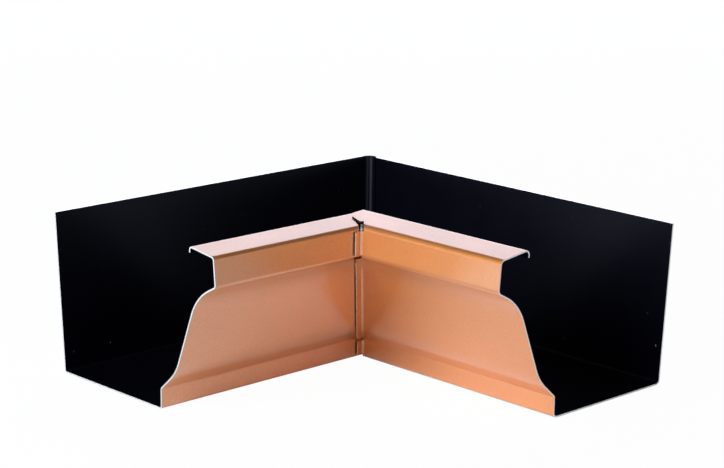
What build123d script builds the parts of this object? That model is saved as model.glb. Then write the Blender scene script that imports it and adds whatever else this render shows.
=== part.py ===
from build123d import *
import os
from math import cos, radians, sqrt, tan

# Internal corner for a roof gutter with a moulded front: two folded sheets, cut at 45 degrees and
# lapped together. A point of the section is (depth, height), with depth growing from the back wall
# to the front. The left run goes along +X and the right run along +Y, so the front faces +X and +Y.
# The right sheet is the outermost, and the left sheet nests inside it.

# Section, in millimetres and degrees, to the outermost face
run_length = 230.0  # corner to open end, along the foot of each back wall
sheet = 0.8
back_height = 89.0
back_lean = 4.0  # each back wall leans outward
floor_width = 87.0
toe_height = 11.5
slope_depth = 12.3  # flare that leaves the toe
slope_rise = 11.1
ledge_depth = 15.4  # flare that runs up to the band
ledge_rise = 8.2
ogee_radius = 28.0
top_width = 131.5  # foot of the back wall to the foot of the band
band_height = 17.0
band_set_back = 1.5  # the band leans back by this at its top
band_bend = 3.2  # radius at the band's foot and top
front_height = 91.5
flange_depth = 21.0
flange_rise = 2.6
lip_height = 4.5
bend_radius = 1.0  # smallest inside radius of a bend

# Seam
lap_gap = 0.1  # between lapped sheets
front_lap = 4.5  # right sheet, folded over the outside of the left one
front_spring = 9.0  # angle by which that lap stands open
back_lap = 5.0  # left sheet, folded along the inside of the right one
back_fold = 3.6  # inside radius of that fold
floor_lap = 12.0  # left floor, laid on the right one
relief = 1.2  # cleared beside each bend, so that the laps can fold
tongue_reach = 7.4  # tongue of the right flange that lies on the left one
tongue_front = 13.0  # from the top of the band back to the tongue's end
tongue_end = 4.0  # width of that end
slot_width = 1.6  # mouth of the wedge cut in the left flange, beside the tongue

nest = sheet + lap_gap  # the left sheet lies this far inside the right one
outer_bend = bend_radius + sheet + nest
fold_flat = 1.4 * sheet  # leg of the flat across the hollow side of each front fold
band_foot = front_height - band_height
band_top = top_width - band_set_back  # depth of the band's top corner
flange_back = band_top - flange_depth
flange_top = front_height + flange_rise
lean = tan(radians(back_lean))
beyond = 3 * run_length
mitre = Plane((0, 0, 0), z_dir=(1, -1, 0))


def ogee_corners():
    """Sharp corners of the moulded front, from the top of the toe to the foot of the band."""
    return [
        (floor_width, toe_height),
        (floor_width + slope_depth, toe_height + slope_rise),
        (top_width - ledge_depth, band_foot - ledge_rise),
        (top_width, band_foot),
    ]


def section_corners(lift):
    """Sharp corners of the whole section, its back wall taller by lift, and the radius of each bend."""
    wall = back_height + lift
    corners = [
        (-wall * lean, wall),
        (0, 0),
        (floor_width, 0),
        *ogee_corners(),
        (band_top, front_height),
        (flange_back, flange_top),
        (flange_back, flange_top - lip_height),
    ]
    floor_bends = [outer_bend, outer_bend]
    front_bends = [bend_radius, ogee_radius, ogee_radius, band_bend, band_bend]
    return [Vector(*corner) for corner in corners], [*floor_bends, *front_bends, outer_bend]


def section_line(depth, lift):
    """The section's line this far inside the outermost face. Inside is left of its direction."""
    corners, radii = section_corners(lift)
    along = [(b - a).normalized() for a, b in zip(corners, corners[1:])]
    inward = [Vector(-u.Y, u.X) for u in along]
    moved = [corners[0] + inward[0] * depth]
    bends = []
    for i, radius in enumerate(radii):
        shift = (inward[i] + inward[i + 1]) / (1 + inward[i].dot(inward[i + 1]))
        moved.append(corners[i + 1] + shift * depth)
        turns_inward = along[i].cross(along[i + 1]).Z > 0
        bends.append(radius - depth if turns_inward else radius + depth)
    moved.append(corners[-1] + inward[-1] * depth)
    return FilletPolyline(*moved, radius=bends)


def between(first, second):
    """The face between two open lines that run the same way."""
    ends = [Line(first @ 0, second @ 0), Line(first @ 1, second @ 1)]
    return make_face([*first.edges(), *second.edges(), *ends])


def along_x(face, start, end):
    """Extrudes a face of the section along the left run."""
    return Pos(start, 0, 0) * extrude(Plane.YZ * face, amount=end - start)


def leaning(plan, low, high):
    """Extrudes a plan of the back corner along the line where the two leaning walls meet."""
    foot = Pos(-low * lean, -low * lean, low) * plan
    return extrude(foot, amount=(high - low) * sqrt(1 + 2 * lean**2), dir=(-lean, -lean, 1))


def beside_mitre(side):
    """All that lies on one side of the 45 degree cut: 1 is the left run's side, -1 the right run's."""
    return Rot(0, 0, -45) * Pos(side * beyond / 2, 0, 0) * Box(beyond, beyond, beyond)


def mitred_twin(solid):
    """The solid's mirror image in the plane of the cut."""
    return mirror(solid, about=mitre)


def whole_sheet(depth):
    """A sheet along the left run that is not cut yet, this far inside the outermost face."""
    face = between(section_line(depth, depth), section_line(depth + sheet, depth))
    return along_x(face, -back_height, run_length)


def level_lap(whole, room):
    """The part of the sheet's twin that lies level past the cut, where there is room for it."""
    return mitred_twin(whole) & beside_mitre(-1) & room


def front_laps(run):
    """Laps that turn back along the front from the cut, standing open, with a flat across each fold."""
    cut_face = run.faces().filter_by(mitre)[0]
    lap = extrude(cut_face, amount=2 * front_lap, dir=(tan(radians(front_spring)), 1, 0))
    flat = Pos(fold_flat / 2, fold_flat / 2, 0) * extrude(cut_face, amount=fold_flat / sqrt(2), both=True)
    toe = Line((floor_width, 0), (floor_width, toe_height))
    ogee = FilletPolyline(*ogee_corners(), radius=ogee_radius)
    band = Line((top_width, band_foot), (band_top, front_height))
    rooms = [
        lap_room(toe, outer_bend, toe_height - relief),
        lap_room(ogee, toe_height + relief, band_foot - relief),
        lap_room(band, band_foot + relief, front_height - band_bend),
    ]
    return [(lap + flat) & room for room in rooms]


def lap_room(line, low, high):
    """Room for a lap beside a line of the front, between two heights."""
    strip = between(Pos(-front_lap, 0) * line, Pos(front_lap, 0) * line)
    strip &= Pos(top_width / 2, (low + high) / 2) * Rectangle(2 * top_width, high - low)
    return along_x(strip, floor_width / 2, beyond)


def tongue_room():
    """Room for the flange's tongue, which leaves the cut at the front and rejoins it near the lip."""
    front = band_top - band_bend
    nose = band_top - tongue_front
    tail = nose - tongue_end
    root = flange_back + outer_bend
    outline = Polyline(
        (front, front),
        (nose, nose + tongue_reach),
        (tail, tail + tongue_reach),
        (root, root),
        (root, root - tongue_reach),
        (front, front - tongue_reach),
        close=True,
    )
    return Pos(0, 0, front_height) * extrude(make_face(outline), amount=flange_rise + nest, both=True)


def floor_lap_room():
    """Room for the lap that lies on the other floor, clear of the bends at both its ends."""
    near = outer_bend + relief
    far = floor_width - outer_bend - relief
    reach = floor_lap * sqrt(2)
    outline = Polyline((near, 0), (near, near + reach), (far, far + reach), (far, 0), close=True)
    return extrude(make_face(outline), amount=nest + 2 * sheet)


def back_corner():
    """The left sheet's rounded back fold with its lap, and the space that it takes, clear of the floor."""
    low = outer_bend + relief
    high = back_height + nest
    outer = nest / cos(radians(back_lean))
    inner = (nest + sheet) / cos(radians(back_lean))
    reach = inner + back_lap
    lines = [
        FilletPolyline((reach, side), (side, side), (side, reach), radius=inner + back_fold - side)
        for side in (outer, inner)
    ]
    space = leaning(Rectangle(2 * reach, 2 * reach), low, high + nest)
    return leaning(between(*lines), low, high), space


def top_clearing():
    """The slot through the bend between the band and the flange, at the seam."""
    slot = Rot(0, 0, 45) * Box(4 * band_bend, 2 * relief, 2 * band_bend)
    return Pos(band_top, band_top, front_height) * slot


def tongue_slot():
    """The wedge in the left flange, open at the front."""
    nose = band_top - tongue_front
    wedge = Polyline(
        (nose + tongue_reach, nose),
        (band_top - slot_width, band_top + sheet),
        (band_top + slot_width, band_top + sheet),
        close=True,
    )
    return Pos(0, 0, front_height) * extrude(make_face(wedge), amount=flange_rise + 2 * sheet, both=True)


def left_run():
    """The inner sheet, lapped inside the back wall and over the floor of the right run."""
    whole = whole_sheet(nest)
    fold, space = back_corner()
    run = (whole & beside_mitre(1)) - space + fold
    return run + level_lap(whole, floor_lap_room()) - top_clearing() - tongue_slot()


def right_run():
    """The outer sheet, lapped over the front and the flange of the left run."""
    whole = whole_sheet(0)
    run = whole & beside_mitre(1)
    laps = [*front_laps(run), level_lap(whole, tongue_room())]
    return mitred_twin((run + laps) - top_clearing())


os.makedirs("parts", exist_ok=True)
for name, solid in {"left_run": left_run(), "right_run": right_run()}.items():
    export_step(solid, f"parts/{name}.step")
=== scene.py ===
import math

import bpy
from mathutils import Matrix, Vector
from mathutils.bvhtree import BVHTree


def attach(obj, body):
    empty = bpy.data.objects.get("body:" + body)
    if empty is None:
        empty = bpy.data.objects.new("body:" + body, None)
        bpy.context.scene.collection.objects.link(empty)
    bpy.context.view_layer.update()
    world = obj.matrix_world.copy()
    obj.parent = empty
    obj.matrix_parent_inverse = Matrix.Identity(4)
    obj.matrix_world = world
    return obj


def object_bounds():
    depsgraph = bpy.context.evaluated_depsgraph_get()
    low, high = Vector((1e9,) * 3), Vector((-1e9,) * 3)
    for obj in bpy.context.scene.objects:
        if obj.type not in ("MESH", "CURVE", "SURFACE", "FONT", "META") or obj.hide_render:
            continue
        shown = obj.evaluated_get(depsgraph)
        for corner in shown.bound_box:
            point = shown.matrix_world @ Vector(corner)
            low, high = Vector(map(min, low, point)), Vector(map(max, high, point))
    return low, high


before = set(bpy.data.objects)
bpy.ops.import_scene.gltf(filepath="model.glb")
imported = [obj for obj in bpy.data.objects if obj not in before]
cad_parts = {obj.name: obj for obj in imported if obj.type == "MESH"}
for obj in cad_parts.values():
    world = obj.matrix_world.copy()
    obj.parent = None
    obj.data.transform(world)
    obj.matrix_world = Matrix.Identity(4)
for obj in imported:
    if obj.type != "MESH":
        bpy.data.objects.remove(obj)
cad_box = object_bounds()

# Sheets, in metres. A point of their section is (depth from the foot of the back wall, height).
thickest_skin = 0.003  # a ray from face to face through the sheet is shorter than this
skin_turn = -0.5  # cosine between the sheet's two faces: this, or more nearly opposite
ray_start = 0.00001
mitre_turn = -0.4  # product of a face's two level directions: less where it was cut at 45 degrees
shade_corner = 0.012  # cut edges of the seam take the black paint, as painted shade, this near to both back walls
shade_height = 0.0905  # and above this height
shade_reach = 0.009  # within this of the mitre, along a run
channel_middle = (0.060, 0.060)
hook_middle = (0.121, 0.080)
hook_limit = (0.100, 0.086)  # the hook of the flange is in front of and above this
outside, inside, edge = range(3)  # the order of a sheet's finishes

# Sliver of the fold that is left in the slot at the top of the seam, bent round a point of the section
sliver_middle = (0.1266, 0.0884)
sliver_radius = 0.0027
sliver_turn = (-20, 75)  # degrees above the level, at its two ends
sliver_steps = 8
sliver_width = 0.0010
sliver_skin = 0.0004

# Copper-coloured paint. Scales are in cells for each metre, and a bump has a strength and a depth.
flake_scale = 1700
flake_colours = (0.65, 0.228, 0.042), (0.81, 0.288, 0.060)
flake_bump = (0.08, 0.0002)
wave_scale = 16
wave_bump = (0.5, 0.002)
satin_scale = 45
satin_roughness = (0.48, 0.56)
copper_sockets = {"Metallic": 0.65, "IOR": 1.9, "Coat Weight": 1.0, "Coat IOR": 2.3, "Coat Roughness": 0.2}

# Black paint
black_scale = 30
black_colours = (0.0006, 0.0006, 0.0020), (0.0010, 0.0010, 0.0032)
black_grain_scale = 900
black_roughness = (0.28, 0.32)
speck_scale = 520
speck_peaks = (0.88, 0.92)  # the part of the noise that shows as dust
speck_colour = (0.2, 0.2, 0.24)
black_sockets = {"Specular IOR Level": 0.36, "Specular Tint": (0.7, 0.75, 1, 1)}

# Sheared aluminium
shear_scale = 1800
shear_colours = (0.9, 0.9, 0.9), (0.98, 0.98, 0.98)
shear_roughness = (0.25, 0.4)
shear_sockets = {"Metallic": 0.9}

# Lamps: place and size in metres, power in watts, and colour
lamps = {
    "key": ((1.45, 0.13, 0.72), (0.8, 0.8), 27.5, (0.9, 0.96, 1)),
    "fill": ((0.13, 1.45, 0.72), (0.8, 0.8), 2.0, (0.92, 0.96, 1)),
    "behind": ((-1.0, -1.1, 0.55), (2.4, 1.1), 18, (0.82, 0.86, 1)),
}

# Stage
floor_size = 12.0
floor_gap = 0.0003  # under the object, so that the two are never level
floor_sockets = {"Base Color": (0.93, 0.95, 0.98, 1), "Roughness": 0.8}
seen_white = 0.97  # share of plain white in the floor as it is seen, so that a soft shadow stays
mirrored_white = 0.1  # the same, as it is mirrored
backdrop_top = (0.05, 0.25)  # sine of the height at which the mirrored backdrop starts to fade, and ends
ceiling = 0.05  # strength of the world above that, and as a light

# Camera, in metres, degrees and millimetres
camera_place = Vector((0.8745, 0.9104, 0.3512))
camera_heading = 136.33
camera_dip = 13.78
camera_roll = 0.61
camera_lens = 104.8
sensor_width = 36.0


def new_material(name, sockets):
    """A node material with these shader sockets set, its tree and its Principled shader."""
    material = bpy.data.materials.new(name)
    material.use_nodes = True
    tree = material.node_tree
    shader = tree.nodes["Principled BSDF"]
    for socket, value in sockets.items():
        shader.inputs[socket].default_value = value
    return material, tree, shader


def node(tree, kind, **settings):
    """Adds a node and sets its properties."""
    made = tree.nodes.new(kind)
    for key, value in settings.items():
        setattr(made, key, value)
    return made


def noise(tree, place, scale, detail=2.0):
    """A noise texture on the object's own coordinates. Scale is in cells for each metre."""
    made = node(tree, "ShaderNodeTexNoise")
    made.inputs["Scale"].default_value = scale
    made.inputs["Detail"].default_value = detail
    tree.links.new(place, made.inputs["Vector"])
    return made.outputs["Fac"]


def spread(tree, value, low, high, first=0.3, last=0.7):
    """Maps first to last onto low to high, and goes no further. High may be a socket.

    Most of a noise lies between the values that first and last have if they aren't given.
    """
    made = node(tree, "ShaderNodeMapRange")
    made.inputs["From Min"].default_value = first
    made.inputs["From Max"].default_value = last
    made.inputs["To Min"].default_value = low
    if isinstance(high, bpy.types.NodeSocket):
        tree.links.new(high, made.inputs["To Max"])
    else:
        made.inputs["To Max"].default_value = high
    tree.links.new(value, made.inputs["Value"])
    return made.outputs["Result"]


def blend_colour(tree, factor, first, second):
    """Mixes two colours by a factor socket. The first may be a socket too."""
    made = node(tree, "ShaderNodeMix", data_type="RGBA")
    ends = [socket for socket in made.inputs if socket.type == "RGBA"]
    for socket, colour in zip(ends, (first, second)):
        if isinstance(colour, tuple):
            socket.default_value = (*colour, 1)
        else:
            tree.links.new(colour, socket)
    tree.links.new(factor, made.inputs["Factor"])
    return next(socket for socket in made.outputs if socket.type == "RGBA")


def bump(tree, height, strength, distance, below=None):
    """A bump of that depth in metres, on top of another one if it is given."""
    made = node(tree, "ShaderNodeBump")
    made.inputs["Strength"].default_value = strength
    made.inputs["Distance"].default_value = distance
    tree.links.new(height, made.inputs["Height"])
    if below is not None:
        tree.links.new(below, made.inputs["Normal"])
    return made.outputs["Normal"]


def copper_paint():
    """Copper-coloured metallic paint: fine flakes in a satin coat over a slightly wavy sheet."""
    material, tree, shader = new_material("copper_paint", copper_sockets)
    place = node(tree, "ShaderNodeTexCoord").outputs["Object"]
    flakes = spread(tree, noise(tree, place, flake_scale), 0, 1)
    tree.links.new(blend_colour(tree, flakes, *flake_colours), shader.inputs["Base Color"])
    satin = noise(tree, place, satin_scale)
    tree.links.new(spread(tree, satin, *satin_roughness), shader.inputs["Roughness"])
    waves = bump(tree, noise(tree, place, wave_scale, detail=0), *wave_bump)
    tree.links.new(bump(tree, flakes, *flake_bump, below=waves), shader.inputs["Normal"])
    return material


def black_paint():
    """The sheet's black inner side, with a little dust."""
    material, tree, shader = new_material("black_paint", black_sockets)
    place = node(tree, "ShaderNodeTexCoord").outputs["Object"]
    cloud = spread(tree, noise(tree, place, black_scale), 0, 1)
    colour = blend_colour(tree, cloud, *black_colours)
    specks = spread(tree, noise(tree, place, speck_scale, detail=0), 0, 1, *speck_peaks)
    tree.links.new(blend_colour(tree, specks, colour, speck_colour), shader.inputs["Base Color"])
    grain = noise(tree, place, black_grain_scale)
    tree.links.new(spread(tree, grain, *black_roughness), shader.inputs["Roughness"])
    return material


def raw_edge():
    """Bare aluminium where the sheet was sheared."""
    material, tree, shader = new_material("raw_edge", shear_sockets)
    place = node(tree, "ShaderNodeTexCoord").outputs["Object"]
    shear = spread(tree, noise(tree, place, shear_scale), 0, 1)
    tree.links.new(blend_colour(tree, shear, *shear_colours), shader.inputs["Base Color"])
    tree.links.new(spread(tree, shear, *shear_roughness), shader.inputs["Roughness"])
    return material


def is_cut_edge(tree, polygon):
    """True where the sheet was cut: across the mitre, or square to its faces."""
    normal = polygon.normal
    if normal.x * normal.y < mitre_turn:
        return True
    start = polygon.center - normal * ray_start
    place, opposite, _, _ = tree.ray_cast(start, -normal, thickest_skin)
    return place is None or opposite.dot(normal) > skin_turn


def in_painted_shade(place):
    """True where cut edges take the black paint as painted shade: the dark gap in the back corner, and the
    dark slit round the flange's tongue.
    """
    in_corner = max(place.x, place.y) < shade_corner
    by_tongue = abs(place.x - place.y) < shade_reach and place.z > shade_height
    return in_corner or by_tongue


def looks_outward(polygon):
    """True on the painted outside: away from the middle of the channel, or of the hook above it."""
    place = polygon.center
    on_left_run = place.x > place.y
    depth = place.y if on_left_run else place.x
    lean = polygon.normal.y if on_left_run else polygon.normal.x
    in_hook = depth > hook_limit[0] and place.z > hook_limit[1]
    middle_depth, middle_height = hook_middle if in_hook else channel_middle
    return lean * (depth - middle_depth) + polygon.normal.z * (place.z - middle_height) > 0


def paint_sheet(sheet, finishes):
    """Gives a folded sheet its outside, its inside and its cut edges."""
    mesh = sheet.data
    mesh.materials.clear()
    for material in finishes:
        mesh.materials.append(material)
    corners = [vertex.co for vertex in mesh.vertices]
    tree = BVHTree.FromPolygons(corners, [polygon.vertices for polygon in mesh.polygons])
    for polygon in mesh.polygons:
        if is_cut_edge(tree, polygon):
            # cut edges in painted shade take the black paint instead of bare metal
            polygon.material_index = inside if in_painted_shade(polygon.center) else edge
        else:
            polygon.material_index = outside if looks_outward(polygon) else inside


def fold_sliver(finish):
    """The bent sliver of sheet that shows between the two flanges, at the top of the seam. It is bare
    aluminium all over, which also stands in as a painted highlight on the fold.
    """
    across = Vector((1, -1, 0)).normalized() * sliver_width / 2
    first_turn, last_turn = sliver_turn
    corners = []
    for step in range(sliver_steps + 1):
        angle = math.radians(first_turn + (last_turn - first_turn) * step / sliver_steps)
        for radius in (sliver_radius - sliver_skin, sliver_radius):
            depth = sliver_middle[0] + radius * math.cos(angle)
            spine = Vector((depth, depth, sliver_middle[1] + radius * math.sin(angle)))
            corners += [spine - across, spine + across]
    ring = (0, 1, 3, 2)  # the corners of one step, in order round the sliver
    ring_size = len(ring)
    faces = [ring[::-1], [ring_size * sliver_steps + corner for corner in ring]]
    for step in range(sliver_steps):
        near = ring_size * step
        far = near + ring_size
        for a, b in zip(ring, ring[1:] + ring[:1]):
            faces.append([near + a, near + b, far + b, far + a])
    mesh = bpy.data.meshes.new("fold_sliver")
    mesh.from_pydata(corners, [], faces)
    mesh.materials.append(finish)
    made = bpy.data.objects.new("fold_sliver", mesh)
    bpy.context.scene.collection.objects.link(made)
    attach(made, "root")


def lamp(name, place, size, power, colour):
    """A soft box that faces the middle of the object."""
    data = bpy.data.lights.new(name, "AREA")
    data.shape = "RECTANGLE"
    data.size, data.size_y = size
    data.energy = power
    data.color = colour
    made = bpy.data.objects.new(name, data)
    made.location = place
    middle = (cad_box[0] + cad_box[1]) / 2
    made.rotation_euler = (middle - Vector(place)).to_track_quat("-Z", "Y").to_euler()
    bpy.context.scene.collection.objects.link(made)


def whiteness(tree, seen, mirrored, lit):
    """One value for camera rays, one for glossy and transmission rays, and one for all other rays."""
    path = node(tree, "ShaderNodeLightPath")
    either = node(tree, "ShaderNodeMath", operation="MAXIMUM")
    tree.links.new(path.outputs["Is Glossy Ray"], either.inputs[0])
    tree.links.new(path.outputs["Is Transmission Ray"], either.inputs[1])
    highest = node(tree, "ShaderNodeMath", operation="MAXIMUM")
    tree.links.new(spread(tree, either.outputs[0], lit, mirrored, 0, 1), highest.inputs[0])
    tree.links.new(spread(tree, path.outputs["Is Camera Ray"], 0, seen, 0, 1), highest.inputs[1])
    return highest.outputs[0]


def white_floor():
    """A wide white floor that keeps a soft shadow, and is mirrored mostly as it is lit."""
    bpy.ops.mesh.primitive_plane_add(size=floor_size, location=(0, 0, cad_box[0].z - floor_gap))
    floor = bpy.context.object
    floor.name = "floor"
    material, tree, shader = new_material("floor_white", floor_sockets)
    glow = node(tree, "ShaderNodeEmission")
    mix = node(tree, "ShaderNodeMixShader")
    tree.links.new(whiteness(tree, seen_white, mirrored_white, 0), mix.inputs["Fac"])
    tree.links.new(shader.outputs["BSDF"], mix.inputs[1])
    tree.links.new(glow.outputs["Emission"], mix.inputs[2])
    tree.links.new(mix.outputs["Shader"], tree.nodes["Material Output"].inputs["Surface"])
    floor.data.materials.append(material)


def white_world():
    """White where it is seen. Metal mirrors a white backdrop that fades upward into a dim ceiling."""
    world = bpy.data.worlds.new("studio")
    world.use_nodes = True
    tree = world.node_tree
    background = tree.nodes["Background"]
    direction = node(tree, "ShaderNodeSeparateXYZ")
    tree.links.new(node(tree, "ShaderNodeTexCoord").outputs["Generated"], direction.inputs["Vector"])
    backdrop = spread(tree, direction.outputs["Z"], 1, ceiling, *backdrop_top)
    tree.links.new(whiteness(tree, 1, backdrop, ceiling), background.inputs["Strength"])
    background.inputs["Color"].default_value = (1, 1, 1, 1)
    bpy.context.scene.world = world


def photo_camera():
    """The camera at the photograph's place and angle."""
    data = bpy.data.cameras.new("camera")
    data.sensor_width = sensor_width
    data.lens = camera_lens
    made = bpy.data.objects.new("camera", data)
    heading = Matrix.Rotation(math.radians(camera_heading), 4, "Z")
    dip = Matrix.Rotation(math.radians(90 - camera_dip), 4, "X")
    roll = Matrix.Rotation(math.radians(camera_roll), 4, "Z")
    made.matrix_world = Matrix.Translation(camera_place) @ heading @ dip @ roll
    bpy.context.scene.collection.objects.link(made)
    bpy.context.scene.camera = made


finishes = [copper_paint(), black_paint(), raw_edge()]
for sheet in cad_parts.values():
    paint_sheet(sheet, finishes)
# the sliver's bare aluminium all over is partly a painted highlight on the fold
fold_sliver(finishes[edge])

for name, settings in lamps.items():
    lamp(name, *settings)
white_floor()
white_world()
photo_camera()
bpy.context.scene.view_settings.view_transform = "Standard"
